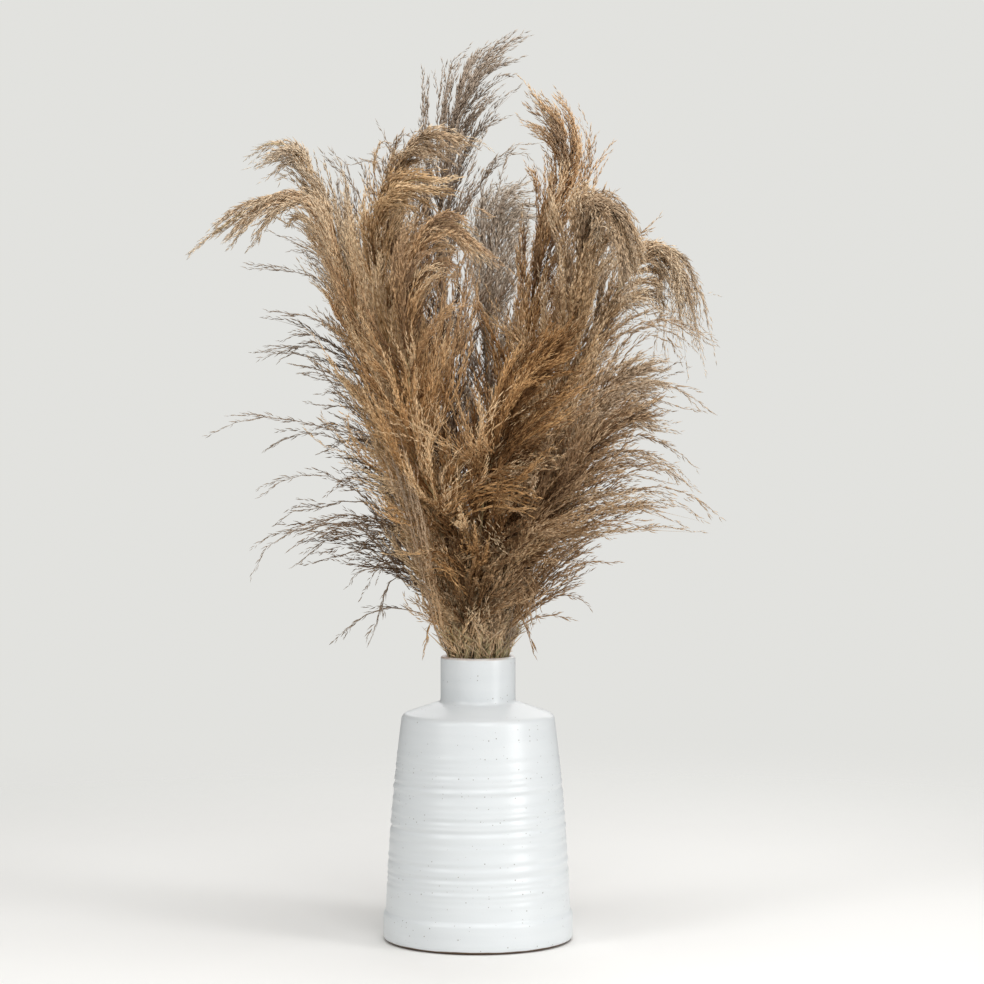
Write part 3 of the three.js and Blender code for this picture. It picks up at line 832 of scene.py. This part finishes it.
def grow_plume(name, route, habit, finish, piece_name):
    """One plume as one mesh: its spine, its branches and their husks. The map OFBake holds each point's tone
    and how far its colour has faded, and the finish takes its colour from that."""
    draw = np.random.default_rng(FIRST_SEED + RING_ORDER.index(name))
    spine, length = spine_of(name, route)
    spine_share = np.linspace(0, 1, SPINE_STEPS + 1)
    spine_radius = STEM_RADIUS_TOP + (SPINE_RADIUS_TIP - STEM_RADIUS_TOP) * spine_share**0.7
    thinned = (None, slice(None, None, SPINE_EVERY))
    points, triangles, (_, side, step) = make_stalks(spine[thinned], spine_radius[thinned], SPINE_SIDES)
    spine_tone = STALK_TONE * (0.4 + 0.6 * side / SPINE_SIDES)
    parts = [(points, triangles, spine_tone, step / (SPINE_STEPS // SPINE_EVERY) * 0.9)]
    branches = lock_branches(draw, spine, length, habit)
    tangle = foot_tangle(draw, spine, length, habit)
    stray = stray_branches(draw, habit["strays"], habit["bleach"])
    for (paths, tone, out, is_main), every in ((branches, STALK_EVERY), (tangle, STALK_EVERY), (stray, 1)):
        if not len(paths):
            continue
        keep_off_lip(paths)
        stalk_paths = paths[is_main, ::every]
        stalk_share = np.linspace(0, 1, stalk_paths.shape[1])
        radii = BRANCH_RADIUS_ROOT + (BRANCH_RADIUS_TIP - BRANCH_RADIUS_ROOT) * stalk_share
        radii = np.tile(radii, (len(stalk_paths), 1))
        points, triangles, (branch, side, step) = make_stalks(stalk_paths, radii, STALK_SIDES)
        branch_tone = np.clip(tone[is_main][branch, step * every] * 0.85, 0, MOST_TONE) + side * SIDE_TONE
        branch_out = np.clip(out[is_main][branch, step * every], 0, 0.97) + side * SIDE_OUT
        parts.append((points, triangles, branch_tone, branch_out))
    paths, tone, out = (np.concatenate(found) for found in list(zip(branches, tangle, stray))[:3])
    parts.append(husks_on(draw, paths, tone, out))
    paths, tone, out = foot_fuzz(draw, spine, length, FUZZ_COUNT)
    keep_in_neck(paths)
    paths, out = paths[:, ::STALK_EVERY], out[:, ::STALK_EVERY]
    radii = np.full(out.shape, FUZZ_RADIUS)
    points, triangles, (thread, side, step) = make_stalks(paths, radii, STALK_SIDES)
    thread_tone = np.clip(tone[thread], STRAW_TONE, MOST_TONE) + side * SIDE_TONE
    parts.append((points, triangles, thread_tone, out[thread, step] + side * SIDE_OUT))

    first = np.cumsum([0] + [len(part[0]) for part in parts])
    points = np.concatenate([part[0] for part in parts])
    triangles = np.concatenate([part[1] + start for part, start in zip(parts, first)])
    grass_tones = [LEAST_TONE + (0.99 - LEAST_TONE) * part[2] for part in parts[1:]]
    tones = np.concatenate([spine_tone] + grass_tones)
    outs = np.clip(np.concatenate([part[3] for part in parts]), 0.005, 0.995)
    plume = new_piece(piece_name, points, triangles.tolist())
    bake_map = plume.data.uv_layers.new(name="OFBake")
    corners = triangles.reshape(-1)
    bake_map.data.foreach_set("uv", np.stack([tones[corners], outs[corners]], axis=1).reshape(-1))
    plume.data.materials.append(finish)
    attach(plume, "root")
    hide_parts("plume_" + name)
    return plume


def grass_finish(name, colours):
    """Dry grass: the stalk's straw at the low end of the tones, then husks from deep to pale, with tips that
    fade. The deep colours also show the shade painted into the tones inside each plume and near its foot."""
    finish, shader = new_finish(name, 0.72)
    bake_place = add_node(finish, "ShaderNodeUVMap", uv_map="OFBake").outputs[0]
    parts = add_node(finish, "ShaderNodeSeparateXYZ", {0: bake_place})
    ramp = add_node(finish, "ShaderNodeValToRGB", {0: parts.outputs["X"]})
    stops = ramp.color_ramp.elements
    stops[0].position = 0
    stops[0].color = colours["stalk"]
    stops[1].position = 1
    stops[1].color = colours["pale"]
    for position, shade in ((STALK_END, "stalk"), (HUSK_START, "deep"), (0.42, "middle"), (0.78, "light")):
        stops.new(position).color = colours[shade]
    fade = rescale(finish, parts.outputs["Y"], 0.0, 1.0, 0.0, 0.95)
    is_branch = rescale(finish, parts.outputs["X"], STALK_END, HUSK_START)
    tip_share = calculate(finish, "MULTIPLY", fade, is_branch)
    colour = mix_colours(finish, tip_share, ramp.outputs[0], colours["tip"])
    rough = rescale(finish, parts.outputs["X"], 0.0, 1.0, 0.62, 0.82)
    set_inputs(finish, shader, {"Base Color": colour, "Roughness": rough, "Specular IOR Level": 0.08})
    return finish


golden_grass = grass_finish("golden_grass", GOLDEN_COLOURS)
for name, route in GOLDEN_ROUTES.items():
    habit = {**GOLDEN_HABIT, **GOLDEN_CHANGES.get(name, {})}
    plume = grow_plume(name, route, habit, golden_grass, "golden_" + name)


# Tan plumes. Flower heads of the same grass, dried to a greyer tan: the ones that arch over at both sides
# and curl forward in the middle, with the ends of their branches hanging.
TAN_ROUTES = {
    "right_droop": [
        (72, 30, 492), (107, 42, 580), (147, 50, 659), (179, 52, 692), (203, 52, 685), (219, 51, 661),
    ],
    "back_left": [(-40, 116, 500), (-64, 152, 600), (-84, 182, 675), (-98, 210, 708), (-112, 240, 700)],
    "left_hook": [
        (-78, 30, 520), (-114, 22, 630), (-145, 14, 706), (-169, 8, 764), (-190, 2, 794), (-221, -4, 795),
    ],
    "upper_curl": [
        (-48, 2, 502), (-68, -12, 603), (-82, -30, 703), (-78, -46, 768), (-48, -66, 798), (-10, -84, 789),
    ],
    "left_curl": [
        (-62, -50, 482), (-80, -66, 563), (-94, -80, 643),
        (-97, -92, 711), (-78, -108, 748), (-38, -122, 755),
    ],
    "right_curl": [
        (60, -34, 510), (88, -46, 610), (102, -54, 700), (112, -60, 742), (134, -68, 728), (155, -74, 676),
    ],
}
TAN_HABIT = {
    **GOLDEN_HABIT,
    "spread": 40, "sag": 0.1, "looseness": 0.14, "tangle": 16, "tangle_height": 0.2, "bleach": 0.45,
}
TAN_CHANGES = {
    "left_hook": {"spread": 38, "foot_opening": 0.65, "sag": 0.16, "bleach": 0.95, "lift": 0.44},
    "left_curl": {
        "foot_opening": 0.75, "bleach": 0.06, "lift": 0.4, "tangle": 34,
        "strays": [[(-40, -30, 332), (-48, -34, 318), (-51, -36, 303), (-54, -38, 288)]],
    },
    "right_droop": {
        "locks": 162, "spread": 47, "sag": 0.32, "bleach": 0.75, "lift": 0.22, "foot_reach": 0.8,
    },
    "upper_curl": {"locks": 144, "spread": 40, "bleach": 0.5, "lift": 0.1},
    "right_curl": {
        "locks": 162, "bleach": 0.55, "lift": 0.18, "sag": 0.14, "foot_reach": 0.85, "foot_opening": 1.15,
        "strays": [[(121, -40, 670), (159, -50, 705), (170, -54, 713), (179, -58, 722)]],
    },
}
TAN_COLOURS = {
    "stalk": (0.5, 0.4, 0.23, 1),
    "deep": (0.14, 0.073, 0.029, 1),
    "middle": (0.4, 0.234, 0.106, 1),
    "light": (0.68, 0.445, 0.228, 1),
    "pale": (0.86, 0.64, 0.4, 1),
    "tip": (0.71, 0.6, 0.47, 1),
}
tan_grass = grass_finish("tan_grass", TAN_COLOURS)
for name, route in TAN_ROUTES.items():
    habit = {**TAN_HABIT, **TAN_CHANGES.get(name, {})}
    plume = grow_plume(name, route, habit, tan_grass, "tan_" + name)


# Taupe plumes. Riper flower heads in grey-brown, whose long single branches spread wide and hang at their
# ends. They grow on their reeds as the others do: two fan out, at the left and behind, and one is highest.
TAUPE_ROUTES = {
    "back_right": [(66, 84, 500), (92, 120, 600), (112, 150, 680), (128, 176, 725), (142, 206, 728)],
    "tall_back": [
        (-22, 48, 503), (-36, 56, 603), (-41, 62, 711), (-31, 66, 793),
        (-15, 66, 845), (6, 66, 879), (33, 64, 895),
    ],
    "left_fan": [(-74, 68, 492), (-106, 86, 583), (-130, 100, 663), (-145, 108, 721), (-152, 114, 759)],
}
TAUPE_HABIT = {
    **GOLDEN_HABIT,
    "locks": 112, "crowding": 0.85, "branchlets": 6, "branchlet_share": (0.14, 0.32), "reach": 0.185,
    "tip_reach": 0.6, "spread": 44, "foot_opening": 1.4, "flare": 1.0, "sag": 0.2, "looseness": 0.18,
    "curl": 0.05, "tangle": 12, "tangle_height": 0.1, "bleach": 0.6,
}
HIGHEST_STRAYS = [
    [(-49, 60, 724), (-54, 54, 812), (-56, 50, 845), (-56, 46, 875)],
    [(-41, 60, 744), (-41, 66, 834), (-38, 70, 859), (-36, 74, 885)],
    [(-31, 60, 764), (-32, 50, 856), (-27, 44, 880), (-8, 38, 897)],
    [(-104, 40, 692), (-121, 32, 749), (-139, 26, 771), (-158, 20, 790)],
    [(-74, 40, 712), (-89, 30, 771), (-107, 24, 781), (-128, 18, 776)],
    [(-69, 40, 722), (-84, 36, 787), (-93, 34, 803), (-101, 32, 820)],
    [(-118, 40, 690), (-126, 34, 755), (-136, 30, 782), (-148, 26, 790)],
    [(-106, 40, 700), (-112, 44, 760), (-118, 46, 778), (-130, 48, 786)],
    [(-90, 40, 700), (-98, 44, 766), (-108, 46, 782), (-118, 48, 784)],
]
LEFT_FAN_STRAYS = [
    [(-100, 74, 489), (-123, 70, 504), (-160, 64, 513), (-209, 56, 523), (-239, 50, 520), (-274, 44, 504)],
    [(-105, 80, 469), (-153, 86, 504), (-187, 92, 504), (-218, 98, 489)],
    [(-90, 66, 418), (-134, 58, 455), (-164, 52, 465), (-198, 44, 459), (-222, 38, 441)],
    [(-85, 64, 392), (-123, 68, 441), (-153, 74, 430), (-185, 80, 428), (-211, 86, 410)],
    [(-80, 60, 367), (-134, 54, 421), (-164, 50, 410), (-198, 44, 405), (-218, 40, 387), (-230, 36, 363)],
    [(-75, 60, 357), (-108, 66, 387), (-142, 74, 403), (-167, 80, 387), (-192, 86, 367)],
    [(-70, 56, 347), (-89, 48, 369), (-123, 40, 365), (-131, 34, 352)],
    [(-59, 50, 324), (-93, 54, 329), (-123, 58, 316), (-148, 62, 294)],
    [(-80, 54, 362), (-91, 46, 354), (-100, 38, 324), (-110, 32, 294)],
    [(-110, 84, 540), (-142, 80, 585), (-171, 74, 596), (-201, 66, 589), (-223, 60, 582)],
    [(-120, 90, 571), (-160, 96, 604), (-185, 102, 607), (-205, 106, 600)],
    [(-105, 82, 520), (-134, 76, 553), (-160, 68, 561), (-177, 62, 566)],
    [(-105, 80, 499), (-127, 86, 531), (-162, 94, 534), (-178, 100, 538)],
    [(-129, 84, 611), (-163, 74, 663), (-197, 64, 672), (-234, 54, 673)],
    [(-129, 84, 631), (-158, 88, 684), (-183, 92, 699), (-215, 96, 713)],
    [(-114, 80, 571), (-151, 70, 616), (-183, 60, 627), (-213, 50, 630)],
]
TAUPE_CHANGES = {
    "tall_back": {
        "reach": 0.155, "spread": 42, "foot_opening": 1.5, "sag": 0.0, "tip_reach": 0.9, "locks": 156,
        "flare": 0.9, "crowding": 0.7, "bleach": 0.8, "strays": HIGHEST_STRAYS,
    },
    "left_fan": {
        "reach": 0.18, "spread": 50, "foot_opening": 1.3, "locks": 198, "crowding": 1.5, "first_lock": 0.03,
        "bleach": 0.9, "sag": 0.32, "foot_reach": 0.9, "full_fan_from": 0.9, "strays": LEFT_FAN_STRAYS,
    },
}
TAUPE_COLOURS = {
    "stalk": (0.3, 0.22, 0.13, 1),
    "deep": (0.11, 0.064, 0.035, 1),
    "middle": (0.24, 0.156, 0.096, 1),
    "light": (0.4, 0.28, 0.19, 1),
    "pale": (0.54, 0.42, 0.31, 1),
    "tip": (0.56, 0.475, 0.39, 1),
}
taupe_grass = grass_finish("taupe_grass", TAUPE_COLOURS)
for name, route in TAUPE_ROUTES.items():
    habit = {**TAUPE_HABIT, **TAUPE_CHANGES.get(name, {})}
    plume = grow_plume(name, route, habit, taupe_grass, "taupe_" + name)


# Brown plumes. Two short, ripe flower heads that lean out low at the right, of the same long single
# branches as the taupe ones but dried to a warmer brown.
BROWN_ROUTES = {
    "right_low": [(80, -62, 452), (112, -70, 497), (142, -76, 525), (168, -80, 537)],
    "right_fan": [(86, -18, 480), (114, -28, 528), (140, -34, 562), (166, -38, 582)],
}
RIGHT_FAN_STRAYS = [
    [(106, -20, 571), (141, -26, 606), (180, -32, 622), (210, -36, 612), (235, -40, 597)],
    [(104, -22, 566), (138, -20, 612), (172, -18, 632), (204, -16, 626), (224, -14, 612)],
    [(100, -22, 560), (130, -30, 598), (166, -36, 614), (196, -40, 606), (214, -42, 592)],
    [(121, -28, 522), (151, -34, 553), (180, -40, 557), (210, -46, 545), (231, -50, 528)],
    [(121, -28, 502), (162, -20, 544), (184, -16, 540), (207, -12, 532), (227, -8, 530)],
    [(111, -24, 442), (176, -32, 456), (199, -38, 452), (222, -44, 441), (240, -48, 425)],
    [(121, -26, 462), (155, -20, 505), (176, -14, 501), (199, -8, 490), (219, -2, 471)],
    [(121, -26, 452), (170, -34, 477), (195, -40, 467), (216, -46, 452)],
    [(111, -24, 541), (151, -30, 606), (184, -34, 621), (210, -38, 610), (231, -42, 595)],
    [(111, -24, 531), (161, -16, 601), (184, -10, 606), (195, -6, 595), (203, -2, 578)],
]
RIGHT_LOW_STRAYS = [
    [(81, -64, 405), (130, -72, 425), (156, -76, 419), (174, -80, 419)],
    [(71, -60, 366), (105, -66, 383), (123, -70, 383), (141, -74, 383)],
    [(46, -44, 327), (82, -56, 350), (101, -62, 346), (112, -66, 336)],
    [(41, -40, 317), (57, -44, 327), (75, -48, 329), (93, -52, 326)],
    [(36, -46, 346), (45, -56, 325), (51, -60, 306), (55, -64, 292)],
    [(34, -38, 318), (62, -48, 344), (88, -56, 362), (112, -62, 374)],
    [(34, -36, 322), (60, -46, 352), (86, -54, 372), (114, -60, 386)],
    [(36, -40, 328), (64, -52, 360), (90, -60, 384), (118, -66, 400)],
    [(32, -42, 320), (56, -54, 340), (78, -64, 352), (98, -72, 360)],
    [(38, -34, 330), (66, -42, 366), (94, -50, 392), (124, -56, 410)],
    [(36, -44, 326), (60, -58, 350), (86, -70, 368), (108, -78, 384)],
    [(34, -30, 316), (58, -36, 338), (84, -40, 354), (104, -44, 362)],
    [(36, -42, 330), (58, -50, 358), (82, -58, 380), (106, -64, 394)],
    [(38, -40, 336), (60, -48, 366), (84, -56, 390), (108, -62, 406)],
    [(34, -44, 322), (56, -54, 346), (80, -62, 364), (104, -68, 378)],
    [(40, -36, 340), (64, -44, 372), (90, -50, 396), (116, -54, 412)],
    [(36, -46, 334), (58, -58, 362), (82, -68, 386), (104, -76, 402)],
    [(34, -34, 326), (58, -42, 354), (84, -48, 374), (110, -52, 388)],
    [(38, -48, 340), (62, -60, 370), (88, -70, 394), (112, -78, 410)],
    [(36, -38, 332), (62, -48, 362), (90, -56, 384), (120, -62, 398)],
    [(32, -40, 316), (54, -48, 336), (76, -56, 352), (98, -62, 362)],
    [(34, -46, 320), (54, -58, 342), (76, -68, 358), (96, -76, 370)],
    [(28, -58, 352), (40, -64, 372), (52, -66, 358), (58, -66, 328)],
    [(26, -58, 346), (38, -66, 364), (48, -70, 350), (54, -70, 318)],
    [(30, -56, 356), (44, -62, 376), (56, -64, 362), (62, -64, 336)],
    [(24, -60, 340), (36, -68, 356), (46, -72, 342), (50, -72, 312)],
    [(40, -70, 404), (56, -84, 438), (76, -94, 466), (102, -100, 486)],
    [(38, -72, 400), (56, -86, 430), (78, -96, 454), (106, -102, 470)],
    [(42, -68, 410), (58, -82, 448), (76, -92, 478), (98, -98, 500)],
    [(40, -74, 396), (60, -88, 422), (84, -98, 442), (112, -104, 454)],
    [(36, -70, 402), (52, -84, 440), (70, -94, 472), (92, -100, 496)],
    [(42, -72, 398), (62, -86, 428), (86, -96, 450), (114, -102, 464)],
]
BROWN_CHANGES = {
    "right_fan": {
        "reach": 0.205, "spread": 53, "foot_opening": 1.3, "sag": 0.18, "locks": 126, "first_lock": 0.15,
        "bleach": 1.0, "lift": 0.5, "tangle": 20, "foot_reach": 0.6, "full_fan_from": 0.9,
        "strays": RIGHT_FAN_STRAYS,
    },
    "right_low": {
        "reach": 0.128, "spread": 48, "foot_opening": 1.5, "sag": 0.0, "locks": 180, "first_lock": 0.04,
        "crowding": 1.5, "bleach": 0.3, "foot_reach": 0.8, "full_fan_from": 0.9, "tangle": 34,
        "tangle_height": 0.22, "strays": RIGHT_LOW_STRAYS,
    },
}
BROWN_COLOURS = {
    "stalk": (0.44, 0.34, 0.2, 1),
    "deep": (0.125, 0.06, 0.022, 1),
    "middle": (0.31, 0.172, 0.076, 1),
    "light": (0.53, 0.335, 0.178, 1),
    "pale": (0.66, 0.47, 0.29, 1),
    "tip": (0.61, 0.475, 0.34, 1),
}
brown_grass = grass_finish("brown_grass", BROWN_COLOURS)
for name, route in BROWN_ROUTES.items():
    plume = grow_plume(name, route, {**TAUPE_HABIT, **BROWN_CHANGES[name]}, brown_grass, "brown_" + name)


# Grey plume. One bleached flower head behind the middle, of the same thread-like branches on a reed of its
# own, but thin enough to see through.
GREY_ROUTE = [(10, 70, 502), (8, 86, 593), (14, 98, 673), (22, 106, 722), (36, 110, 746), (53, 112, 752)]
GREY_HABIT = {
    **GOLDEN_HABIT,
    "locks": 177, "crowding": 0.75, "branchlet_share": (0.2, 0.45), "reach": 0.165, "tip_reach": 0.85,
    "spread": 56, "sag": 0.12, "looseness": 0.22, "curl": 0.06, "tangle": 10, "tangle_height": 0.1,
    "lift": 0.2, "bleach": 0.7,
    "strays": [
        [(2, 100, 680), (8, 96, 771), (21, 92, 790), (41, 90, 802), (64, 88, 803)],
        [(12, 100, 701), (34, 106, 797), (52, 110, 792), (64, 114, 776)],
        [(7, 100, 680), (26, 94, 745), (45, 90, 764), (59, 86, 776)],
    ],
}
GREY_COLOURS = {
    "stalk": (0.36, 0.29, 0.19, 1),
    "deep": (0.32, 0.228, 0.155, 1),
    "middle": (0.48, 0.365, 0.265, 1),
    "light": (0.63, 0.51, 0.39, 1),
    "pale": (0.75, 0.64, 0.52, 1),
    "tip": (0.72, 0.63, 0.53, 1),
}
grey_grass = grass_finish("grey_grass", GREY_COLOURS)
plume = grow_plume("centre_back", GREY_ROUTE, GREY_HABIT, grey_grass, "grey_centre_back")


# Studio. A pale floor that runs out into a pale room, lit by a soft panel in front, a tall window at each
# side, a panel above and one behind. The camera stands a long way off, a little above the bunch's middle.
FLOOR_RADIUS = 3.0
FLOOR_SIDES = 96
FLOOR_DROP = 0.0002
FLOOR_FADES_FROM = 0.4
FLOOR_GRAIN = 0.97
ROOM = (0.76, 0.76, 0.735, 1)
ROOM_LIGHT = 0.3
FLOOR_PALE = (0.86, 0.85, 0.83, 1)
CAMERA_PLACE = (0.014, -3.2, 0.58)
CAMERA_AIM = (0.014, 0, 0.449)
CAMERA_LENS = 117.2
CAMERA_SENSOR = 36
LIGHTS = {
    "front_panel": {"spot": (0.3, -1.7, 1.7), "aim": (0, 0, 0.55), "width": 1.2, "height": 1.0, "watts": 15},
    "right_window": {"spot": (2.1, -1.4, 0.9), "aim": (0, 0, 0.4), "width": 0.7, "height": 1.8, "watts": 31},
    "left_window": {
        "spot": (-1.8, -1.6, 1.4), "aim": (-0.1, 0, 0.62), "width": 0.9, "height": 1.6, "watts": 20,
    },
    "sky_panel": {"spot": (0.3, -0.3, 2.6), "aim": (0, 0, 0.5), "width": 1.8, "height": 1.8, "watts": 34},
    "back_panel": {"spot": (0.3, 2.0, 1.3), "aim": (0, 0, 0.45), "width": 2.0, "height": 1.6, "watts": 16},
}

floor_turns = np.linspace(0, 2 * math.pi, FLOOR_SIDES, endpoint=False)
floor_rim = np.stack([np.cos(floor_turns), np.sin(floor_turns), floor_turns * 0], axis=1) * FLOOR_RADIUS
studio_floor = new_piece("studio_floor", floor_rim, [list(range(FLOOR_SIDES))])
studio_floor.location.z = -FLOOR_DROP
floor_finish, floor_shader = new_finish("studio_floor", 0.8)
floor_place = add_node(floor_finish, "ShaderNodeTexCoord").outputs["Object"]
floor_way = add_node(floor_finish, "ShaderNodeVectorMath", {0: floor_place}, operation="LENGTH")
floor_grain = noise(floor_finish, floor_place, scale=3, detail=4)
floor_dark = (*(channel * FLOOR_GRAIN for channel in FLOOR_PALE[:3]), 1)
floor_colour = mix_colours(floor_finish, floor_grain, FLOOR_PALE, floor_dark)
floor_shown = rescale(
    floor_finish, floor_way.outputs["Value"], FLOOR_FADES_FROM, FLOOR_RADIUS * 0.6, 1, 0, smooth=True
)
set_inputs(floor_finish, floor_shader, {"Base Color": floor_colour, "Alpha": floor_shown})
studio_floor.data.materials.append(floor_finish)

room = bpy.data.worlds.new("pale_room")
room.use_nodes = True
seen_room = room.node_tree.nodes["Background"]
set_inputs(room, seen_room, {"Color": ROOM})
lit_room = add_node(room, "ShaderNodeBackground", {"Color": ROOM, "Strength": ROOM_LIGHT})
is_seen = add_node(room, "ShaderNodeLightPath").outputs["Is Camera Ray"]
room_mix = add_node(
    room, "ShaderNodeMixShader", {0: is_seen, 1: lit_room.outputs[0], 2: seen_room.outputs[0]}
)
set_inputs(room, room.node_tree.nodes["World Output"], {"Surface": room_mix.outputs[0]})
bpy.context.scene.world = room
bpy.context.scene.view_settings.view_transform = "Standard"


def facing(spot, aim):
    return (Vector(aim) - Vector(spot)).to_track_quat("-Z", "Y").to_euler()


def soft_light(name, spot, aim, width, height, watts):
    light = bpy.data.lights.new(name, "AREA")
    light.shape = "RECTANGLE"
    light.size = width
    light.size_y = height
    light.energy = watts
    lamp = bpy.data.objects.new(name, light)
    lamp.location = spot
    lamp.rotation_euler = facing(spot, aim)
    lamp.visible_camera = False
    bpy.context.scene.collection.objects.link(lamp)


for name, settings in LIGHTS.items():
    soft_light(name, **settings)

camera = bpy.data.objects.new("camera", bpy.data.cameras.new("camera"))
camera.data.lens = CAMERA_LENS
camera.data.sensor_width = CAMERA_SENSOR
camera.location = CAMERA_PLACE
camera.rotation_euler = facing(CAMERA_PLACE, CAMERA_AIM)
bpy.context.scene.collection.objects.link(camera)
bpy.context.scene.camera = camera
